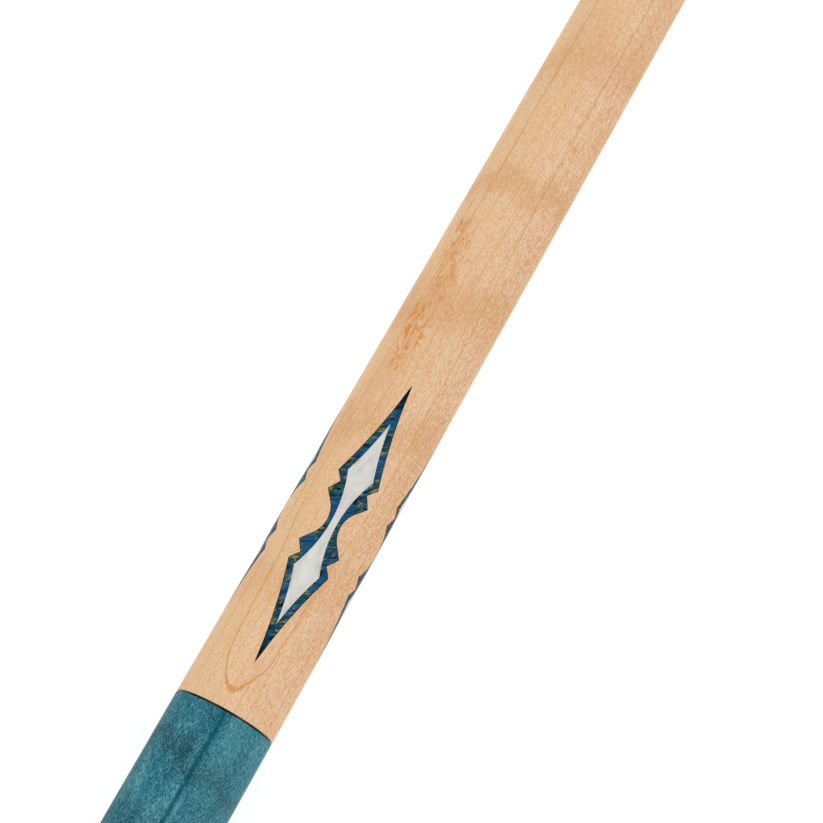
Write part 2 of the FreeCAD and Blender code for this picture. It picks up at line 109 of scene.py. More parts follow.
# Outside radii at the ends of the long cones. Each ring has the radius of the cone that it closes.
cap_rear_radius = widest("butt_cap")
sleeve_rear_radius = widest("butt_sleeve")
handle_rear_radius = widest("handle")
a_joint_radius = widest("a_joint_ring")
forearm_rear_radius = widest("forearm")
forearm_front_radius = widest("butt_joint_ring")
joint_radius = widest("shaft_joint_collar")
shaft_rear_radius = widest("shaft")
tip_radius = widest("ferrule")


def between(x, start, start_radius, end, end_radius):
    """Radius at x on the cone that runs from start to end."""
    return start_radius + (end_radius - start_radius) * (x - start) / (end - start)


def butt_radius(x):
    """Outside radius of the cone from the butt sleeve's rear to the A-joint."""
    return between(x, rear("butt_sleeve"), sleeve_rear_radius, front("handle"), a_joint_radius)


# ---------------------------------------------------------------- meshes


def mesh_object(name, mesh):
    piece = bpy.data.objects.new(name, mesh)
    bpy.context.scene.collection.objects.link(piece)
    return piece


def soften(profile):
    """Replaces each (x, radius, rounding) corner of a closed profile with a small arc."""
    steps = 4
    points = []
    count = len(profile)
    for index, corner in enumerate(profile):
        here = Vector(corner[:2])
        if len(corner) == 2:
            points.append(here)
            continue
        before = (Vector(profile[index - 1][:2]) - here).normalized()
        after = (Vector(profile[(index + 1) % count][:2]) - here).normalized()
        half = before.angle(after) / 2
        reach = corner[2] / math.tan(half)
        centre = here + (before + after).normalized() * (corner[2] / math.sin(half))
        start, end = here + before * reach, here + after * reach
        for step in range(steps + 1):
            mixed = start.lerp(end, step / steps) - centre
            points.append(centre + mixed.normalized() * corner[2])
    return points


def turned_mesh(profile, gap=None):
    """A closed mesh turned about the cue's axis; gap is a (start, end) stretch left without faces."""
    slack = 0.001 * MM
    points = soften(profile)
    mesh = bmesh.new()
    rings = []
    for x, radius in points:
        if radius < SAME_PLACE:
            rings.append([mesh.verts.new((x, 0, 0))])
            continue
        ring = []
        for step in range(SEGMENTS):
            angle = 2 * math.pi * step / SEGMENTS
            ring.append(mesh.verts.new((x, -radius * math.sin(angle), radius * math.cos(angle))))
        rings.append(ring)
    for index, ring in enumerate(rings):
        other = rings[(index + 1) % len(rings)]
        if len(ring) == 1 and len(other) == 1:
            continue
        stations = (points[index].x, points[(index + 1) % len(rings)].x)
        if gap and all(abs(station - end) < slack for station, end in zip(stations, gap)):
            continue
        for step in range(SEGMENTS):
            after = (step + 1) % SEGMENTS
            corners = [ring[step % len(ring)], ring[after % len(ring)]]
            corners += [other[after % len(other)], other[step % len(other)]]
            mesh.faces.new([vert for at, vert in enumerate(corners) if vert not in corners[:at]])
    return mesh


def finished(name, mesh):
    """Turns a bmesh into an object with its normals facing out."""
    bmesh.ops.recalc_face_normals(mesh, faces=mesh.faces)
    data = bpy.data.meshes.new(name)
    mesh.to_mesh(data)
    mesh.free()
    return mesh_object(name, data)


def lathe(name, profile):
    """A closed solid turned about the cue's axis from (x, radius, rounding) corners."""
    sharpest_smooth_edge = math.radians(32)
    piece = finished(name, turned_mesh(profile))
    piece.data.polygons.foreach_set("use_smooth", [True] * len(piece.data.polygons))
    piece.data.set_sharp_from_angle(angle=sharpest_smooth_edge)
    return piece


def arc_between(start, end, radius, steps=14):
    """Points after start, up to end, on an arc with its centre to the right of the way along."""
    chord = end - start
    rise = math.sqrt(radius ** 2 - (chord.length / 2) ** 2)
    centre = (start + end) / 2 + Vector((chord.y, -chord.x)).normalized() * rise
    points = []
    for step in range(1, steps + 1):
        ray = start.lerp(end, step / steps) - centre
        points.append(centre + ray.normalized() * radius)
    return points


def four_way(quarter):
    """Mirrors a quarter outline, from the point on +X to the middle of the waist, to a closed one."""
    half = quarter + [Vector((-point.x, point.y)) for point in reversed(quarter[:-1])]
    return half + [Vector((point.x, -point.y)) for point in reversed(half[1:-1])]


def frame_outline():
    """Outline of an inlay frame about its own middle, long points along X."""
    tip, barb = Vector((40.0, 0)), Vector((12.75, 5.5))
    notch, horn = Vector((10.3, 3.6)), Vector((7.35, 5.5))
    neck = Vector((5.05, 3.75))
    long_arc, waist_arc, half_waist = 145.0, 7.6, 12
    quarter = [tip] + arc_between(tip, barb, long_arc) + [notch, horn, neck]
    waist = arc_between(neck, Vector((-neck.x, neck.y)), waist_arc, steps=2 * half_waist)
    quarter += waist[:half_waist]
    return [point * MM for point in four_way(quarter)]


def core_outline():
    """Outline of a pearl core about its own middle."""
    tip, barb = Vector((29.1, 0)), Vector((13.75, 3.55))
    long_arc, waist_arc, half_waist = 86.0, 36.1, 16
    quarter = [tip] + arc_between(tip, barb, long_arc)
    waist = arc_between(barb, Vector((-barb.x, barb.y)), waist_arc, steps=2 * half_waist)
    quarter += waist[:half_waist]
    return [point * MM for point in four_way(quarter)]


def grown(outline, distance):
    """The outline moved outward by a distance, with its sharp points kept short."""
    longest = 3.0
    result = []
    for index, point in enumerate(outline):
        before = (point - outline[index - 1]).normalized()
        after = (outline[(index + 1) % len(outline)] - point).normalized()
        first, second = Vector((-before.y, before.x)), Vector((-after.y, after.x))
        outward = -(first + second) if winding(outline) > 0 else first + second
        outward.normalize()
        spread = max(abs(outward.dot(first)), 1 / longest)
        result.append(point + outward * (distance / spread))
    return result


def winding(outline):
    """Twice the signed area: positive when the outline runs counter-clockwise."""
    total = 0.0
    for index, point in enumerate(outline):
        after = outline[(index + 1) % len(outline)]
        total += point.x * after.y - after.x * point.y
    return total


SURFACE = "surface"


class Net:
    """Triangles over a quarter of a cone round an inlay, cut along the outlines of its shapes."""

    def __init__(self, shapes, station, reach, radius_at):
        self.radius_at = radius_at
        self.scale = radius_at(station)
        same_point = 1e-9
        rows = SEGMENTS // 4
        points, edges, faces = [], [], []
        for row in range(rows + 1):
            aside = self.scale * math.pi / 2 * (row / rows - 0.5)
            points += [Vector((station - reach, aside)), Vector((station + reach, aside))]
            edges.append((2 * row, 2 * row + 1))
            if row:
                edges += [(2 * row - 2, 2 * row), (2 * row - 1, 2 * row + 1)]
        for shape in shapes:
            outline = shape if winding(shape) > 0 else shape[::-1]
            faces.append(list(range(len(points), len(points) + len(outline))))
            for point in outline:
                x = station + point.x
                points.append(Vector((x, self.scale * math.asin(point.y / radius_at(x)))))
        self.points, _, self.triangles, _, _, self.held_by = delaunay_2d_cdt(
            points, edges, faces, 0, same_point)

    def add_to(self, mesh, levels, turn):
        """Adds faces and walls. levels lists (upper, lower) by how many shapes hold a triangle."""
        placed = {}

        def vertex(index, level):
            if (index, level) not in placed:
                x, aside = self.points[index]
                angle = aside / self.scale
                y = self.radius_at(x) * math.sin(angle)
                z = self.radius_at(x) * math.cos(angle) if level == SURFACE else level
                place = (x, y * math.cos(turn) - z * math.sin(turn), y * math.sin(turn) + z * math.cos(turn))
                placed[index, level] = mesh.verts.new(place)
            return placed[index, level]

        sides = {}
        for triangle, held in zip(self.triangles, self.held_by):
            if levels[len(held)]:
                for at in range(3):
                    sides[triangle[at], triangle[(at + 1) % 3]] = levels[len(held)]
        for triangle, held in zip(self.triangles, self.held_by):
            if not levels[len(held)]:
                continue
            for level in levels[len(held)]:
                if level is not None:
                    mesh.faces.new([vertex(index, level) for index in triangle])
        for (start, end), (upper, lower) in sides.items():
            beyond = sides.get((end, start))
            foot = lower if beyond is None else beyond[0]
            if foot is None or foot == upper or (beyond and upper != SURFACE):
                continue
            mesh.faces.new((vertex(start, upper), vertex(end, upper), vertex(end, foot), vertex(start, foot)))


def shade_as_cone(piece, radius_at):
    """Smooth normals of the true cone on its outside, flat ones on every cut wall and floor."""
    data = piece.data
    slack = 0.04 * MM
    step = 0.5 * MM
    normals = [None] * len(data.loops)
    for polygon in data.polygons:
        centre = polygon.center
        out = Vector((0, centre.y, centre.z)).normalized()
        on_cone = abs(math.hypot(centre.y, centre.z) - radius_at(centre.x)) < slack
        for at in polygon.loop_indices:
            if on_cone and polygon.normal.dot(out) > 0.9:
                point = data.vertices[data.loops[at].vertex_index].co
                fall = (radius_at(point.x) - radius_at(point.x + step)) / step
                radial = Vector((0, point.y, point.z)).normalized()
                normals[at] = (radial + Vector((fall, 0, 0))).normalized()
            else:
                normals[at] = polygon.normal.copy()
    data.polygons.foreach_set("use_smooth", [True] * len(data.polygons))
    data.normals_split_custom_set(normals)


def inlaid(name, profile_before, profile_after, prefix, radius_at, materials):
    """A turned piece with four pockets in its cone, filled with glue line, frame and core.

    The cone's profile runs from the end of profile_before to the start of profile_after.
    """
    start, end = rear(f"{prefix}_inlay_frame_1"), front(f"{prefix}_inlay_frame_1")
    station, reach = (start + end) / 2, (end - start) / 2 + 2 * MM
    frame_depth, core_depth, glue_width = 2.6 * MM, 1.6 * MM, 0.16 * MM
    frame_floor, core_floor = radius_at(station) - frame_depth, radius_at(station) - core_depth
    shapes = [grown(frame_outline(), glue_width), frame_outline(), core_outline()]
    net = Net(shapes, station, reach, radius_at)
    ends = [station + reach, station - reach]
    if profile_before[-1][0] < profile_after[0][0]:
        ends.reverse()
    cone = [(x, radius_at(x)) for x in ends]
    wood = turned_mesh(profile_before + cone + profile_after, gap=ends)
    fillings = [("glue_line", "glue", [None, (SURFACE, frame_floor), None, None]),
                ("inlay_frame", "frame", [None, None, (SURFACE, frame_floor), (core_floor, frame_floor)]),
                ("inlay_core", "core", [None, None, None, (SURFACE, core_floor)])]
    for number in range(4):
        turn = math.pi / 2 * number
        net.add_to(wood, [(SURFACE, None)] + [(frame_floor, None)] * 3, turn)
        for label, kind, levels in fillings:
            mesh = bmesh.new()
            net.add_to(mesh, levels, turn)
            piece = finished(f"{prefix}_{label}_{number + 1}_fitted", mesh)
            shade_as_cone(piece, radius_at)
            finish_piece(piece, materials[kind], "butt")
            if kind == "glue":
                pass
            else:
                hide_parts(f"{prefix}_{label}_{number + 1}")
    bmesh.ops.remove_doubles(wood, verts=wood.verts, dist=SAME_PLACE)
    piece = finished(f"{name}_turned", wood)
    shade_as_cone(piece, radius_at)
    return piece


def finish_piece(piece, material, body):
    """Gives a piece its material and its body."""
    piece.data.materials.clear()
    piece.data.materials.append(material)
    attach(piece, body)


def stand_in(piece, material, body, node):
    """A piece that shows in place of one CAD node."""
    finish_piece(piece, material, body)
    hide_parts(node)


# ---------------------------------------------------------------- material building blocks


def linear(channel):
    """The linear value of a 0 to 255 display value."""
    channel /= 255
    return channel / 12.92 if channel <= 0.04045 else ((channel + 0.055) / 1.055) ** 2.4


def rgb(red, green, blue):
    """A colour from its 0 to 255 display values."""
    return (linear(red), linear(green), linear(blue), 1.0)


class Shader:
    """One procedural material. Its texture space is the row frame, in millimetres."""

    def __init__(self, name):
        self.material = bpy.data.materials.new(name)
        self.material.use_nodes = True
        self.tree = self.material.node_tree
        self.surface = self.tree.nodes["Principled BSDF"]
        coordinates = self.tree.nodes.new("ShaderNodeTexCoord")
        self.point = self.vector("MULTIPLY", coordinates.outputs["Object"], (1000, 1000, 1000))
        separate = self.add("ShaderNodeSeparateXYZ", {"Vector": self.point}, output=None)
        self.x, self.y, self.z = separate.outputs
        right = self.math("MULTIPLY", self.y, -1.0)
        self.angle = self.math("ARCTAN2", right, self.z)
        squares = self.math("ADD", self.math("POWER", self.y, 2.0), self.math("POWER", self.z, 2.0))
        self.radius = self.math("SQRT", squares)
        self.lateral = self.math("DIVIDE", right, self.math("MAXIMUM", self.radius, 0.001))

    def put(self, socket, value):
        if isinstance(value, bpy.types.NodeSocket):
            self.tree.links.new(value, socket)
        else:
            socket.default_value = value

    def add(self, kind, inputs, output=0, **settings):
        node = self.tree.nodes.new(kind)
        for key, value in settings.items():
            setattr(node, key, value)
        for key, value in inputs.items():
            self.put(node.inputs[key], value)
        return node if output is None else node.outputs[output]

    def math(self, operation, *values):
        node = self.tree.nodes.new("ShaderNodeMath")
        node.operation = operation
        for socket, value in zip(node.inputs, values):
            self.put(socket, value)
        return node.outputs[0]

    def vector(self, operation, *values):
        node = self.tree.nodes.new("ShaderNodeVectorMath")
        node.operation = operation
        for socket, value in zip(node.inputs, values):
            self.put(socket, value)
        return node.outputs[0]

    def mix(self, factor, first, second, blend="MIX"):
        node = self.tree.nodes.new("ShaderNodeMix")
        node.data_type = "RGBA"
        node.blend_type = blend
        for socket, value in zip((node.inputs[0], node.inputs[6], node.inputs[7]), (factor, first, second)):
            self.put(socket, value)
        return node.outputs[2]

    def noise(self, scale, detail=2.0, roughness=0.5, distortion=0.0, shift=(0, 0, 0), space=None):
        """Noise whose scale is (x, y, z) cells per millimetre, so that it can be stretched."""
        space = self.point if space is None else space
        stretched = self.vector("ADD", self.vector("MULTIPLY", space, scale), shift)
        inputs = {"Vector": stretched, "Scale": 1.0, "Detail": detail}
        inputs.update({"Roughness": roughness, "Distortion": distortion})
        return self.add("ShaderNodeTexNoise", inputs)

    def ramp(self, value, low, high, start=0.0, end=1.0):
        """Smooth step from start to end as value goes from low to high."""
        inputs = {"Value": value, "From Min": low, "From Max": high, "To Min": start, "To Max": end}
        return self.add("ShaderNodeMapRange", inputs, interpolation_type="SMOOTHSTEP")

    def ramp_linear(self, value, low, high, start, end):
        """Straight line from start to end as value goes from low to high."""
        inputs = {"Value": value, "From Min": low, "From Max": high, "To Min": start, "To Max": end}
        return self.add("ShaderNodeMapRange", inputs, interpolation_type="LINEAR")

    def colours(self, value, stops):
        """A colour ramp from (position, colour) stops."""
        node = self.tree.nodes.new("ShaderNodeValToRGB")
        elements = node.color_ramp.elements
        while len(elements) < len(stops):
            elements.new(0.5)
        for element, (position, colour) in zip(elements, stops):
            element.position = position
            element.color = colour
        self.put(node.inputs[0], value)
        return node.outputs[0]

    def near(self, value, centre, width):
        """1 where value is at centre, falling smoothly to 0 at width from it."""
        distance = self.math("ABSOLUTE", self.math("SUBTRACT", value, centre))
        return self.ramp(distance, 0.0, width, 1.0, 0.0)

    def curve(self, value, points, low, high):
        """A curve drawn through (value, result) points; results run from low to high."""
        first, last = points[0][0], points[-1][0]
        place = self.ramp_linear(value, first, last, 0.0, 1.0)
        node = self.tree.nodes.new("ShaderNodeFloatCurve")
        line = node.mapping.curves[0]
        while len(line.points) < len(points):
            line.points.new(0.5, 0.5)
        for handle, (at, result) in zip(line.points, points):
            handle.location = ((at - first) / (last - first), (result - low) / (high - low))
        node.mapping.update()
        self.put(node.inputs["Value"], place)
        return self.ramp_linear(node.outputs[0], 0.0, 1.0, low, high)

    def bump(self, height, distance, strength):
        inputs = {"Height": height, "Distance": distance, "Strength": strength}
        self.put(self.surface.inputs["Normal"], self.add("ShaderNodeBump", inputs))

    def set(self, **values):
        """Sets Principled inputs by name, with _ for a space."""
        for key, value in values.items():
            self.put(self.surface.inputs[key.replace("_", " ")], value)

    def clear_coat(self, weight=0.08, roughness=0.1):
        """A thin lacquer, which takes the place of the base's own gloss."""
        self.set(Coat_Weight=weight, Coat_Roughness=roughness, Coat_IOR=1.36)
        self.surface.inputs["Specular IOR Level"].default_value = 0.02


# ---------------------------------------------------------------- woods

HONEY = rgb(230, 192, 149)
ROSE = rgb(232, 196, 162)
PALE = rgb(236, 203, 170)
TAN = rgb(218, 168, 120)
LINE = rgb(213, 143, 74)
FLECK = rgb(217, 164, 112)
STAIN = rgb(214, 138, 62)
LIGHT_LACE = rgb(235, 206, 176)
DASH = rgb(212, 143, 86)


def growth_lines(shader, depth_points, lean, shift):
    """Growth lines: one layer that surfaces in a point, and thin upright layers seen edge on.

    depth_points gives how deep the first layer lies under the top, in mm, against the station.
    """
    spacing, line_width = 3.1, 0.12
    upright_part = shader.math("MULTIPLY", shader.z, math.cos(lean))
    sideways_part = shader.math("MULTIPLY", shader.y, math.sin(lean))
    depth = shader.math("SUBTRACT", shader.radius, shader.math("ADD", upright_part, sideways_part))
    wander = shader.noise((0.028, 0.05, 0.05), detail=1.0, shift=shift)
    ripple = shader.noise((0.3, 0.5, 0.5), detail=3.0, roughness=0.65, shift=shift)
    first = shader.curve(shader.x, depth_points, -1.0, 4.0)
    layer = shader.math("SUBTRACT", depth, first)
    layer = shader.math("ADD", layer, shader.ramp_linear(ripple, 0.0, 1.0, -0.2, 0.2))
    foremost = shader.near(layer, 0.0, line_width)
    across = shader.math("ADD", shader.y, shader.ramp_linear(wander, 0.0, 1.0, -1.3, 1.3))
    across = shader.math("ADD", across, shader.ramp_linear(ripple, 0.0, 1.0, -0.25, 0.25))
    turn = shader.math("FRACT", shader.math("DIVIDE", across, spacing))
    strength = shader.noise((0.035, 0.2, 0.2), detail=1.0, shift=(5.1, 2.2, shift[2]))
    strength = shader.ramp(strength, 0.35, 0.6, 0.12, 0.6)
    upright = shader.math("MULTIPLY", shader.near(turn, 0.5, 0.055), strength)
    return shader.math("MAXIMUM", upright, shader.math("MULTIPLY", foremost, 0.9))


def curl_bands(shader, bands, shift, slope=0.35):
    """Darker bands across the grain, from (station, half width in mm, strength)."""
    waver = shader.noise((0.05, 0.16, 0.16), detail=4.0, roughness=0.65, shift=shift)
    bent = shader.math("ADD", shader.x, shader.math("MULTIPLY", shader.y, slope))
    bent = shader.math("ADD", bent, shader.ramp_linear(waver, 0.0, 1.0, -12.0, 12.0))
    total = 0.0
    for station, width, strength in bands:
        band = shader.math("MULTIPLY", shader.near(bent, station, width), strength)
        total = shader.math("MAXIMUM", total, band)
    return total


def gum_marks(shader, stains):
    """Looped gum stains, from (station, angle, length, width, strength); sizes are in mm."""
    cells = shader.noise((0.11, 0.28, 0.28), detail=3.0, roughness=0.6, distortion=0.5, shift=(2, 7, 0))
    from_middle = shader.math("ABSOLUTE", shader.math("SUBTRACT", cells, 0.5))
    loops = shader.ramp(from_middle, 0.01, 0.045, 0.9, 0.0)
    total = 0.0
    for station, angle, length, width, strength in stains:
        along = shader.math("DIVIDE", shader.math("SUBTRACT", shader.x, station), length / 2)
        turned = shader.math("SUBTRACT", shader.angle, math.radians(angle))
        aside = shader.math("DIVIDE", shader.math("MULTIPLY", turned, shader.radius), width / 2)
        reach = shader.math("ADD", shader.math("POWER", along, 2.0), shader.math("POWER", aside, 2.0))
        patch = shader.ramp(reach, 0.3, 1.4, strength, 0.0)
        solid = shader.ramp(reach, 0.0, 0.6, 0.25, 0.0)
        mark = shader.math("MULTIPLY", patch, shader.math("MAXIMUM", loops, solid))
        total = shader.math("MAXIMUM", total, mark)
    return total


def maple(name, depth_points, bands, lean=0.14, shift=(0, 0, 0), stains=()):
    """Natural maple under a clear finish, with growth lines, curl, fleck and gum stains."""
    shader = Shader(name)
    side = shader.ramp_linear(shader.lateral, -0.35, 0.3, 0.0, 1.0)
    colour = shader.mix(side, HONEY, ROSE)
    broad = shader.noise((0.02, 0.07, 0.07), detail=3.0, roughness=0.6, shift=shift)
    colour = shader.mix(shader.ramp(broad, 0.5, 0.7, 0.0, 0.4), colour, PALE)
    colour = shader.mix(shader.ramp(broad, 0.5, 0.34, 0.0, 0.45), colour, TAN)
    colour = shader.mix(curl_bands(shader, bands, shift), colour, TAN)
    lace = shader.noise((1.1, 2.4, 2.4), detail=3.0, roughness=0.7, distortion=0.9, shift=shift)
    dash = shader.noise((0.6, 3.0, 3.0), detail=2.0, roughness=0.6, shift=(3.0, 0.0, shift[2]))
    amount = shader.ramp_linear(shader.lateral, -0.8, 0.8, 0.5, 0.95)
    dark_lace = shader.math("MULTIPLY", shader.ramp(lace, 0.49, 0.6, 0.0, 1.0), amount)
    colour = shader.mix(dark_lace, colour, FLECK)
    light_lace = shader.ramp(lace, 0.49, 0.38, 0.0, 1.0)
    light_lace = shader.math("MULTIPLY", light_lace, shader.ramp(shader.lateral, 0.2, 0.8, 0.6, 1.0))
    colour = shader.mix(light_lace, colour, LIGHT_LACE)
    flank = shader.ramp(shader.lateral, 0.4, 0.85, 0.05, 0.65)
    dashes = shader.math("MULTIPLY", shader.ramp(dash, 0.53, 0.61, 0.0, 1.0), flank)
    colour = shader.mix(dashes, colour, DASH)
    lines = growth_lines(shader, depth_points, lean, shift)
    colour = shader.mix(lines, colour, LINE)
    if stains:
        colour = shader.mix(gum_marks(shader, stains), colour, STAIN)
    shader.set(Base_Color=colour, Roughness=shader.ramp_linear(lace, 0.3, 0.7, 0.42, 0.5))
    shader.clear_coat()
    shader.bump(lace, 0.00002, 0.2)
    return shader.material


def stained_maple(name, bands):
    """Figured maple stained teal, with specks and curl, plus painted light: a dark streak along the top that
    is a painted reflection of a dark seam, and a painted paler sheen on the right side.
    """
    shader = Shader(name)
    mottle = shader.noise((1.0, 2.0, 2.0), detail=4.0, roughness=0.78, distortion=0.3, shift=(3, 1, 2))
    broad = shader.noise((0.05, 0.16, 0.16), detail=2.0, roughness=0.55, shift=(7.0, 0.0, 0.0))
    value = shader.math("ADD", shader.math("MULTIPLY", mottle, 0.7), shader.math("MULTIPLY", broad, 0.3))
    colour = shader.colours(value, [
        (0.38, rgb(14, 64, 78)), (0.45, rgb(34, 100, 114)),
        (0.52, rgb(58, 127, 142)), (0.62, rgb(108, 170, 178))])
    curl = curl_bands(shader, bands, (1.0, 4.0, 2.0), slope=-0.25)
    colour = shader.mix(curl, colour, (0.62, 0.5, 0.52, 1.0), blend="MULTIPLY")
    # Painted highlight: the right side is mixed towards a paler teal, a painted softbox reflection.
    painted_softbox_sheen = shader.ramp(shader.lateral, 0.04, 0.3, 0.0, 0.25)
    colour = shader.mix(painted_softbox_sheen, colour, rgb(92, 152, 166))
    specks = shader.noise((1.3, 3.2, 3.2), detail=3.0, roughness=0.75, distortion=0.6, shift=(6, 3, 8))
    colour = shader.mix(shader.ramp(specks, 0.49, 0.62, 0.0, 0.8), colour, rgb(24, 86, 100))
    colour = shader.mix(shader.ramp(specks, 0.47, 0.36, 0.0, 0.5), colour, rgb(112, 172, 182))
    # Painted reflection: the dark streak along the top is the painted reflection of the dark seam between two
    # softboxes, not a stain or grain line.
    ripple = shader.noise((0.12, 0.1, 0.1), detail=2.0)
    around = shader.math("MULTIPLY", shader.angle, 13.0)
    around = shader.math("ADD", around, shader.ramp_linear(ripple, 0.0, 1.0, -0.3, 0.7))
    upward = shader.ramp(shader.z, 0.0, 4.0)
    painted_seam_reflection = shader.math("MULTIPLY", shader.near(around, 0.0, 1.1), upward)
    colour = shader.mix(shader.math("MULTIPLY", painted_seam_reflection, 0.85), colour, rgb(8, 74, 88))
    shader.set(Base_Color=colour, Roughness=0.45)
    shader.clear_coat()
    shader.bump(mottle, 0.00002, 0.2)
    return shader.material


# ---------------------------------------------------------------- inlay, plastics, metals


def marbled_composite(name, stations):
    """Pressed blue composite: slanting blue, teal and black layers with gold flecks.

    The long points, 33 mm and more from each inlay's station, run out in the dark layer.
    """
    shader = Shader(name)
    sideways = shader.math("ADD", shader.y, shader.z)
    slant = shader.math("ADD", shader.x, shader.math("MULTIPLY", sideways, 0.6))
    space = shader.add("ShaderNodeCombineXYZ", {"X": slant, "Y": shader.y, "Z": shader.z})
    layers = shader.noise(
        (0.6, 0.16, 0.16), detail=4.0, roughness=0.66, distortion=0.5, shift=(2, 4, 6), space=space)
    colour = shader.colours(layers, [
        (0.4, rgb(7, 12, 22)), (0.43, rgb(18, 52, 90)), (0.46, rgb(36, 84, 128)), (0.49, rgb(18, 56, 100)),
        (0.53, rgb(22, 106, 118)), (0.57, rgb(48, 106, 116)), (0.6, rgb(8, 20, 30))])
    patches = shader.noise((0.13, 0.3, 0.3), detail=1.0, shift=(9.0, 1.0, 3.0))
    colour = shader.mix(shader.ramp(patches, 0.5, 0.58, 0.0, 0.6), colour, rgb(26, 74, 116))
    colour = shader.mix(shader.ramp(patches, 0.46, 0.38, 0.0, 0.7), colour, rgb(18, 58, 66))
    flakes = shader.noise(
        (0.95, 0.4, 0.4), detail=3.0, roughness=0.7, distortion=0.9, shift=(4, 8, 1), space=space)
    in_flakes, off_patches = shader.ramp(flakes, 0.54, 0.64, 0.0, 0.8), shader.ramp(patches, 0.54, 0.42)
    gold = shader.math("MULTIPLY", in_flakes, off_patches)
    colour = shader.mix(gold, colour, rgb(150, 142, 74))
    for station in stations:
        away = shader.math("ABSOLUTE", shader.math("SUBTRACT", shader.x, station))
        inner, outer = shader.ramp(away, 30.0, 37.0, 0.0, 0.95), shader.ramp(away, 50.0, 46.0)
        point = shader.math("MULTIPLY", inner, outer)
        colour = shader.mix(point, colour, rgb(12, 20, 34))
    shader.set(Base_Color=colour, Roughness=0.35)
    shader.clear_coat()
    return shader.material


def pearl(name):
    """Pearl composite: pale warm grey with soft silky drifts."""
    shader = Shader(name)
    drift = shader.noise((0.1, 0.22, 0.22), detail=2.0, distortion=1.4, shift=(1.0, 5.0, 2.0))
    silk = shader.noise((0.7, 1.6, 1.6), detail=2.0, roughness=0.6)
    value = shader.math("ADD", shader.math("MULTIPLY", drift, 0.75), shader.math("MULTIPLY", silk, 0.25))
    colour = shader.colours(value, [
        (0.35, rgb(196, 197, 196)), (0.5, rgb(214, 212, 207)), (0.65, rgb(226, 222, 214))])
    shader.set(Base_Color=colour, Roughness=0.3)
    shader.clear_coat()
    return shader.material


def black_phenolic(name):
    """Polished black phenolic with the faintest cloud in it."""
    shader = Shader(name)
    cloud = shader.noise((0.4, 0.4, 0.4), detail=3.0)
    colour = shader.colours(cloud, [(0.4, rgb(16, 16, 18)), (0.65, rgb(27, 27, 30))])
    shader.set(Base_Color=colour, Roughness=0.3)
    shader.clear_coat(weight=0.8, roughness=0.05)
    return shader.material


def glue_line(name):
    """The dark line of glue round an inlay."""
    shader = Shader(name)
    cloud = shader.noise((1.0, 1.0, 1.0), detail=1.0)
    colour = shader.colours(cloud, [(0.3, rgb(10, 17, 24)), (0.7, rgb(34, 34, 34))])
    shader.set(Base_Color=colour, Roughness=0.4)
    shader.clear_coat()
    return shader.material


def turned_metal(name, dark, light, roughness):
    """Lathe-turned metal: fine rings round the axis in colour, roughness and relief."""
    shader = Shader(name)
    tool_marks = shader.noise((14.0, 0.3, 0.3), detail=3.0, roughness=0.7)
    cloud = shader.noise((0.3, 0.3, 0.3), detail=2.0)
    value = shader.math("ADD", shader.math("MULTIPLY", tool_marks, 0.5), shader.math("MULTIPLY", cloud, 0.5))
    shader.set(Base_Color=shader.colours(value, [(0.35, dark), (0.65, light)]), Metallic=1.0)
    shader.set(Roughness=shader.ramp_linear(tool_marks, 0.3, 0.7, roughness, roughness + 0.1))
    shader.bump(tool_marks, 0.00001, 0.3)
    return shader.material


def rubber(name):
    """Moulded black rubber with a fine matt grain."""
    shader = Shader(name)
    grain = shader.noise((3.0, 3.0, 3.0), detail=3.0, roughness=0.6)
    colour = shader.colours(grain, [(0.35, rgb(24, 24, 25)), (0.65, rgb(38, 38, 39))])
    shader.set(Base_Color=colour, Roughness=shader.ramp_linear(grain, 0.3, 0.7, 0.62, 0.8))
    shader.bump(grain, 0.00005, 0.5)
    return shader.material


def ferrule_resin(name):
    """Off-white cast resin, faintly clouded along its length."""
    shader = Shader(name)
    cloud = shader.noise((0.15, 0.4, 0.4), detail=2.0)
    colour = shader.colours(cloud, [(0.35, rgb(236, 232, 221)), (0.65, rgb(241, 238, 228))])
    shader.set(Base_Color=colour, Roughness=0.28)
    shader.clear_coat(weight=0.4, roughness=0.1)
    return shader.material


def pad_fibre(name):
    """Black vulcanised fibre."""
    shader = Shader(name)
    grain = shader.noise((4.0, 4.0, 4.0), detail=2.0)
    colour = shader.colours(grain, [(0.35, rgb(22, 22, 24)), (0.65, rgb(46, 44, 44))])
    shader.set(Base_Color=colour, Roughness=0.55)
    shader.bump(grain, 0.00003, 0.4)
    return shader.material


def layered_leather(name, shoulder):
    """Pressed leather tip: thin layers along the axis, chalked past its shoulder's station."""
    shader = Shader(name)
    layer_thickness = 0.8
    grain = shader.noise((2.5, 2.5, 2.5), detail=4.0, roughness=0.7)
    layer = shader.math("FRACT", shader.math("DIVIDE", shader.x, layer_thickness))
    seam = shader.ramp(layer, 0.0, 0.14, 1.0, 0.0)
    colour = shader.colours(grain, [
        (0.3, rgb(92, 58, 36)), (0.55, rgb(124, 84, 54)), (0.75, rgb(150, 108, 74))])
    colour = shader.mix(shader.math("MULTIPLY", seam, 0.7), colour, rgb(48, 30, 20))
    dome = shader.ramp(shader.x, shoulder - 0.6, shoulder + 0.9, 0.0, 1.0)
    dust = shader.noise((1.3, 1.3, 1.3), detail=4.0, roughness=0.7, shift=(5.0, 2.0, 8.0))
    chalk = shader.math("MULTIPLY", dome, shader.ramp(dust, 0.38, 0.6, 0.25, 0.9))
    colour = shader.mix(chalk, colour, rgb(84, 132, 158))
    shader.set(Base_Color=colour, Roughness=shader.ramp_linear(grain, 0.3, 0.7, 0.6, 0.85))
    shader.bump(grain, 0.0001, 0.5)
    return shader.material


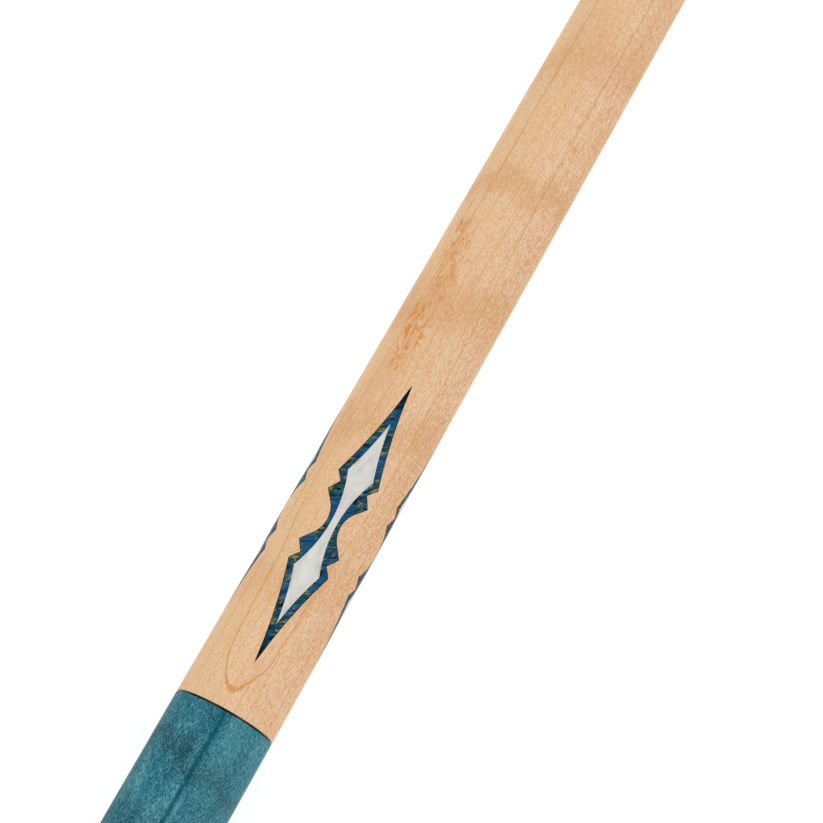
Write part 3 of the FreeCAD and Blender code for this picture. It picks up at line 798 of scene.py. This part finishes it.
def shaft_maple(name):
    """Pale straight-grained maple with a satin finish."""
    shader = Shader(name)
    broad = shader.noise((0.006, 0.3, 0.3), detail=2.0)
    grain = shader.noise((0.02, 1.6, 1.6), detail=3.0, roughness=0.6, distortion=0.2)
    fleck = shader.noise((0.7, 3.0, 3.0), detail=2.0, roughness=0.6)
    value = shader.math("ADD", shader.math("MULTIPLY", broad, 0.35), shader.math("MULTIPLY", grain, 0.65))
    colour = shader.colours(value, [
        (0.3, rgb(206, 166, 120)), (0.48, rgb(229, 197, 154)), (0.68, rgb(238, 210, 172))])
    colour = shader.mix(shader.ramp(fleck, 0.55, 0.72, 0.0, 0.4), colour, rgb(205, 162, 116))
    shader.set(Base_Color=colour, Roughness=shader.ramp_linear(grain, 0.3, 0.7, 0.36, 0.46))
    shader.clear_coat(weight=0.35, roughness=0.22)
    shader.bump(grain, 0.00002, 0.3)
    return shader.material


# ---------------------------------------------------------------- pieces

# The figure of each wood, in mm and degrees. The forearm's and handle's stations are
# taken from the A-joint, negative behind it; the sleeve's are taken from the butt end.
# How deep the first growth layer lies under the top: it surfaces in a point close to the A-joint.
FOREARM_LAYER = [
    (0, -0.8), (4.7, 0.0), (7.5, 0.25), (10.2, 0.62), (16.5, 1.2), (42, 1.76), (54, 2.6), (67, 3.0),
    (110, 2.8), (150, 1.9), (285, 2.3)]
SLEEVE_LAYER = [(30.0, 0.4), (60.0, 1.6), (100.0, 2.4), (160.0, 1.2)]
# Gum marks: station, angle to the right of the top, length, width, strength.
GUM_MARKS = [
    (138, -53, 16, 1.7, 1.0), (130, -38, 20, 7, 0.8), (121, -31, 14, 6, 0.8), (110, -38, 11, 6, 1.0),
    (105, -30, 16, 7, 1.0), (99, -27, 10, 6, 0.9), (129, -14, 3, 2, 0.5), (168, 31, 3, 1.5, 0.8)]
# Curl: station, half width, strength.
FOREARM_CURL = [
    (191, 9, 0.6), (153, 8, 0.8), (118, 11, 0.9), (80, 9, 0.7), (37, 9, 0.5), (232, 10, 0.6),
    (262, 9, 0.6)]
HANDLE_CURL = [
    (-15.5, 4.5, 1.0), (-38, 7, 0.5), (-64, 6, 0.7), (-92, 8, 0.5), (-121, 6, 0.7), (-150, 7, 0.5),
    (-178, 6, 0.7), (-205, 8, 0.5), (-236, 6, 0.7), (-262, 6, 0.5)]
SLEEVE_CURL = [(52, 7, 0.6), (76, 9, 0.5), (121, 8, 0.7), (143, 7, 0.6)]
INLAY_STATIONS = [
    (rear(f"{prefix}_inlay_frame_1") + front(f"{prefix}_inlay_frame_1")) / 2 / MM
    for prefix in ("forearm", "sleeve")]


def past_a_joint(marks):
    """The marks with their stations measured from the butt end instead of the A-joint."""
    return [(rear("forearm") / MM + station, *rest) for station, *rest in marks]


steel = turned_metal("machined_steel", rgb(150, 150, 152), rgb(205, 205, 207), 0.22)
nickel = turned_metal("nickel_silver", rgb(188, 184, 174), rgb(226, 222, 212), 0.16)
brass = turned_metal("machined_brass", rgb(170, 130, 62), rgb(216, 180, 104), 0.25)
phenolic = black_phenolic("black_phenolic")
inlay_materials = {
    "glue": glue_line("glue_line"),
    "frame": marbled_composite("marbled_composite", INLAY_STATIONS),
    "core": pearl("pearl"),
}


def make_bumper():
    """Rubber foot with a rounded flange, a lip against the cap and a ribbed plug."""
    start, end = rear("bumper"), front("bumper")
    flange, lip = rear("butt_cap"), 0.8 * MM
    radius, plug = widest("bumper") - lip, 6.2 * MM
    profile = [
        (start, 0), (start, radius, 2.5 * MM), (flange - lip, radius, 0.25 * MM),
        (flange - lip, radius + lip, 0.3 * MM), (flange, radius + lip, 0.15 * MM), (flange, plug),
        (flange + lip * 3, plug, 0.2 * MM), (flange + lip * 4, plug - lip, 0.2 * MM),
        (flange + lip * 6, plug - lip, 0.2 * MM), (flange + lip * 7, plug, 0.2 * MM),
        (end - lip, plug, 0.3 * MM), (end, plug - lip), (end, 0)]
    stand_in(lathe("bumper_foot", profile), rubber("moulded_rubber"), "bumper", "bumper")


def make_cap():
    """Cap with a hole for the bumper's plug and a counterbore for the handle's rear tenon."""
    start, end, floor = rear("butt_cap"), front("butt_cap"), rear("handle")
    plug_hole, counterbore, edge = 6.3 * MM, REAR_TENON + GLUE_GAP, 1.5 * MM
    rounding_allowance = 0.01 * MM  # the rounded edge falls this short of its corner
    profile = [
        (start, plug_hole, 0.3 * MM), (floor, plug_hole), (floor, counterbore), (end, counterbore),
        (end, sleeve_rear_radius), (start, cap_rear_radius + rounding_allowance, edge)]
    stand_in(lathe("cap_shell", profile), phenolic, "butt", "butt_cap")


def make_ring(node, bore, rear_radius, front_radius, finish, body, play=0.0):
    """A plain ring; finish is (material, slot), and play the gap left at each of its two faces."""
    start, end = rear(node) + play, front(node) - play
    material, slot = finish
    profile = [(start, bore), (end, bore), (end, front_radius), (start, rear_radius)]
    stand_in(lathe(f"{node}_turned", profile), material, body, node)


def make_sleeve():
    """Maple tube with four inlays."""
    start, end, bore = rear("butt_sleeve"), front("butt_sleeve"), REAR_TENON + GLUE_GAP
    before = [(start, bore), (end, bore), (end, butt_radius(end))]
    after = [(start, butt_radius(start))]
    wood = inlaid("butt_sleeve", before, after, "sleeve", butt_radius, inlay_materials)
    material = maple("sleeve_maple", SLEEVE_LAYER, SLEEVE_CURL, lean=0.3, shift=(11.0, 3.0, 7.0))
    stand_in(wood, material, "butt", "butt_sleeve")


def make_handle():
    """Stained handle with a tenon and a rod hole at each end."""
    tenon_start, start, end = rear("handle"), front("handle_rear_ring"), rear("a_joint_ring")
    tenon_end, chamfer = front("handle"), 0.8 * MM
    bolt_hole_end, stud_start = 144 * MM, rear("a_joint_stud")
    profile = [
        (tenon_start, ROD_HOLE), (bolt_hole_end, ROD_HOLE), (bolt_hole_end, 0), (stud_start, 0),
        (stud_start, ROD_HOLE), (tenon_end, ROD_HOLE), (tenon_end, FRONT_TENON - chamfer),
        (tenon_end - chamfer, FRONT_TENON), (end, FRONT_TENON), (end, a_joint_radius),
        (start, handle_rear_radius), (start, REAR_TENON), (tenon_start, REAR_TENON)]
    stained = stained_maple("stained_maple", past_a_joint(HANDLE_CURL))
    stand_in(lathe("handle_turned", profile), stained, "butt", "handle")


def forearm_outside(x):
    """Outside radius of the forearm's cone, as far as the joint ring."""
    return between(x, rear("forearm"), forearm_rear_radius, rear("butt_joint_ring"), forearm_front_radius)


def make_forearm():
    """Maple forearm with four inlays, a socket for the handle's tenon, and a tenon for the joint."""
    start, tenon_start, end = rear("forearm"), rear("butt_joint_ring"), front("forearm")
    socket, socket_floor = FRONT_TENON + GLUE_GAP, front("handle") + GLUE_GAP
    stud_end, pin_floor, pin_hole = front("a_joint_stud"), rear("joint_pin"), 4.73 * MM
    before = [
        (start, socket), (socket_floor, socket), (socket_floor, ROD_HOLE), (stud_end, ROD_HOLE),
        (stud_end, 0), (pin_floor, 0), (pin_floor, pin_hole), (end, pin_hole), (end, JOINT_TENON),
        (tenon_start, JOINT_TENON), (tenon_start, forearm_front_radius)]
    after = [(start, forearm_rear_radius)]
    wood = inlaid("forearm", before, after, "forearm", forearm_outside, inlay_materials)
    material = maple("forearm_maple", past_a_joint(FOREARM_LAYER), past_a_joint(FOREARM_CURL),
                     stains=past_a_joint(GUM_MARKS))
    stand_in(wood, material, "butt", "forearm")


def make_shaft():
    """Shaft with a cone, then a long arc into its parallel front, and a tenon at each end."""
    tenon_start, start = rear("shaft"), front("shaft_joint_ring")
    end, tenon_end = rear("ferrule"), front("shaft")
    bore, bore_end = 6.4 * MM, front("shaft_insert")
    relief, relief_end = 4.9 * MM, bore_end + 18 * MM
    arc_start, arc_end, arc_steps = 1010 * MM, 1160 * MM, 16
    profile = [
        (tenon_start, bore), (bore_end, bore), (bore_end, relief), (relief_end, relief), (relief_end, 0),
        (tenon_end, 0), (tenon_end, FERRULE_TENON), (end, FERRULE_TENON), (end, tip_radius)]
    slope = (shaft_rear_radius - tip_radius) / ((arc_start - start) + (arc_end - arc_start) / 2)
    for step in range(arc_steps + 1):
        share = step / arc_steps
        x = arc_end + (arc_start - arc_end) * share
        profile.append((x, tip_radius + slope * (arc_end - arc_start) / 2 * share ** 2))
    profile += [(start, shaft_rear_radius), (start, JOINT_TENON), (tenon_start, JOINT_TENON)]
    stand_in(lathe("shaft_turned", profile), shaft_maple("shaft_maple"), "shaft", "shaft")


def make_ferrule():
    """Capped ferrule over the shaft's front tenon."""
    start, end = rear("ferrule"), front("ferrule")
    bore, bore_end = FERRULE_TENON + GLUE_GAP, front("shaft") + GLUE_GAP
    profile = [
        (start, bore), (bore_end, bore), (bore_end, 0), (end, 0), (end, tip_radius), (start, tip_radius)]
    resin = ferrule_resin("ferrule_resin")
    stand_in(lathe("ferrule_turned", profile), resin, "shaft", "ferrule")


def make_tip_pad():
    """Fibre disc between ferrule and tip."""
    start, end = rear("tip_pad"), front("tip_pad")
    profile = [(start, 0), (end, 0), (end, tip_radius), (start, tip_radius)]
    stand_in(lathe("tip_pad_disc", profile), pad_fibre("pad_fibre"), "shaft", "tip_pad")


def make_tip():
    """Leather tip, its front a dome struck from the axis."""
    start, end, dome, steps = rear("tip"), front("tip"), 10.6 * MM, 12
    profile = [(start, 0)]
    widest_angle = math.asin(tip_radius / dome)
    shoulder = end - dome * (1 - math.cos(widest_angle))
    for step in range(steps + 1):
        angle = widest_angle * step / steps
        profile.append((end - dome * (1 - math.cos(angle)), dome * math.sin(angle)))
    profile.append((start, tip_radius))
    leather = layered_leather("layered_leather", shoulder / MM)
    stand_in(lathe("tip_dome", profile), leather, "shaft", "tip")


def make_rings():
    """Rings and collars from the butt forward. The last is a body of its own, with play at its faces."""
    rear_bore, front_bore = REAR_TENON + GLUE_GAP, FRONT_TENON + GLUE_GAP
    joint_bore = JOINT_TENON + GLUE_GAP
    cap_ring_rear, sleeve_front = butt_radius(rear("butt_cap_ring")), butt_radius(front("butt_sleeve"))
    collar_rear, ring_rear = widest("butt_joint_collar"), widest("shaft_joint_ring")
    black, silver = (phenolic, "black_phenolic"), (nickel, "nickel_silver")
    make_ring("butt_cap_ring", rear_bore, cap_ring_rear, sleeve_rear_radius, silver, "butt")
    make_ring("handle_rear_ring", rear_bore, sleeve_front, handle_rear_radius, black, "butt")
    make_ring("a_joint_ring", front_bore, a_joint_radius, forearm_rear_radius, black, "butt")
    make_ring("butt_joint_ring", joint_bore, forearm_front_radius, collar_rear, silver, "butt")
    make_ring("butt_joint_collar", joint_bore, collar_rear, joint_radius, black, "butt")
    make_ring("shaft_joint_collar", joint_bore, joint_radius, ring_rear, black, "shaft")
    make_ring("shaft_joint_ring", joint_bore, ring_rear, shaft_rear_radius, silver, "joint_ring",
              play=0.02 * MM)


def dress_cad_nodes():
    """The threaded metal pieces keep their CAD shapes and get turned-metal finishes."""
    finishes = {"joint_pin": steel, "a_joint_stud": steel, "weight_bolt": steel, "shaft_insert": brass}
    for node, material in finishes.items():
        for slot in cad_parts[node].material_slots:
            slot.material = material


make_bumper()
make_cap()
make_sleeve()
make_handle()
make_forearm()
make_shaft()
make_ferrule()
make_tip_pad()
make_tip()
make_rings()
dress_cad_nodes()


# ---------------------------------------------------------------- stage, light and camera


def make_floor():
    """A pale, softly glowing floor that runs along the underside from the A-joint to the joint."""
    contact_rear, contact_front = rear("forearm"), rear("butt_joint_ring")
    fall = (forearm_rear_radius - forearm_front_radius) / (contact_front - contact_rear)
    gap, half = 0.1 * MM, 40.0
    middle = (cad_box[0].x + cad_box[1].x) / 2
    corners = []
    for x, y in ((-half, -half), (half, -half), (half, half), (-half, half)):
        height = -forearm_rear_radius - gap + fall * (middle + x - contact_rear)
        corners.append((middle + x, y, height))
    data = bpy.data.meshes.new("floor")
    data.from_pydata(corners, [], [(0, 1, 2, 3)])
    floor = mesh_object("floor", data)
    shader = Shader("pale_floor")
    cloud = shader.noise((0.01, 0.01, 0.01), detail=2.0)
    colour = shader.colours(cloud, [(0.3, rgb(148, 148, 148)), (0.7, rgb(156, 156, 156))])
    shader.set(Base_Color=colour, Roughness=0.9, Emission_Color=(1, 1, 1, 1), Emission_Strength=0.8)
    shader.surface.inputs["Specular IOR Level"].default_value = 0.0
    data.materials.append(shader.material)


def make_world():
    """A white studio tent: bright at the horizon and high on its sides, dimmer overhead."""
    world = bpy.data.worlds.new("studio")
    world.use_nodes = True
    bpy.context.scene.world = world
    nodes, links = world.node_tree.nodes, world.node_tree.links
    coordinates = nodes.new("ShaderNodeTexCoord")
    separate = nodes.new("ShaderNodeSeparateXYZ")
    links.new(coordinates.outputs["Generated"], separate.inputs[0])
    height = nodes.new("ShaderNodeValToRGB")
    links.new(separate.outputs["Z"], height.inputs[0])
    levels = ((0.04, 1.0), (0.1, 0.3), (0.45, 0.9), (0.85, 1.3), (0.97, 0.25))
    elements = height.color_ramp.elements
    while len(elements) < len(levels):
        elements.new(0.5)
    for element, (position, level) in zip(elements, levels):
        element.position = position
        element.color = (level, level, level, 1)
    links.new(height.outputs[0], nodes["Background"].inputs["Color"])


def softbox(name, place, target, size, power):
    """A rectangular area light at a place, facing a target."""
    light = bpy.data.lights.new(name, "AREA")
    light.shape = "RECTANGLE"
    light.size, light.size_y = size
    light.energy = power
    lamp = bpy.data.objects.new(name, light)
    bpy.context.scene.collection.objects.link(lamp)
    lamp.location = place
    lamp.rotation_euler = (Vector(target) - Vector(place)).to_track_quat("-Z", "Y").to_euler()


def make_camera():
    """Above the cue and a little behind the A-joint, rolled so that the cue climbs to the right."""
    past_ring, beside_axis = 91.4 * MM, 2.81 * MM
    aim = Vector((rear("a_joint_ring") + past_ring, -beside_axis, 0))
    distance, lens = 1.5, 260.9
    back_tilt, side_tilt, roll = math.radians(11.6), math.radians(0.963), math.radians(29.106)
    away = Vector((-math.sin(back_tilt), -math.sin(side_tilt), 0))
    away.z = math.sqrt(1 - away.x ** 2 - away.y ** 2)
    up_hint = Vector((math.cos(roll), math.sin(roll), 0))
    right = (-away).cross(up_hint).normalized()
    up = right.cross(-away)
    data = bpy.data.cameras.new("camera")
    data.lens, data.sensor_width = lens, 36.0
    data.clip_start, data.clip_end = 0.05, 50.0
    camera = bpy.data.objects.new("camera", data)
    bpy.context.scene.collection.objects.link(camera)
    matrix = camera.matrix_world.copy()
    for row in range(3):
        matrix[row][0], matrix[row][1], matrix[row][2] = right[row], up[row], away[row]
        matrix[row][3] = aim[row] + away[row] * distance
    camera.matrix_world = matrix
    bpy.context.scene.camera = camera


make_floor()
make_world()
target = (rear("forearm"), 0, 0)
for name, aside in (("softbox_left", 0.8), ("softbox_right", -0.8)):
    softbox(name, (target[0], aside, 1.2), target, (1.6, 0.6), 1.2)
make_camera()
bpy.context.scene.view_settings.view_transform = "Standard"
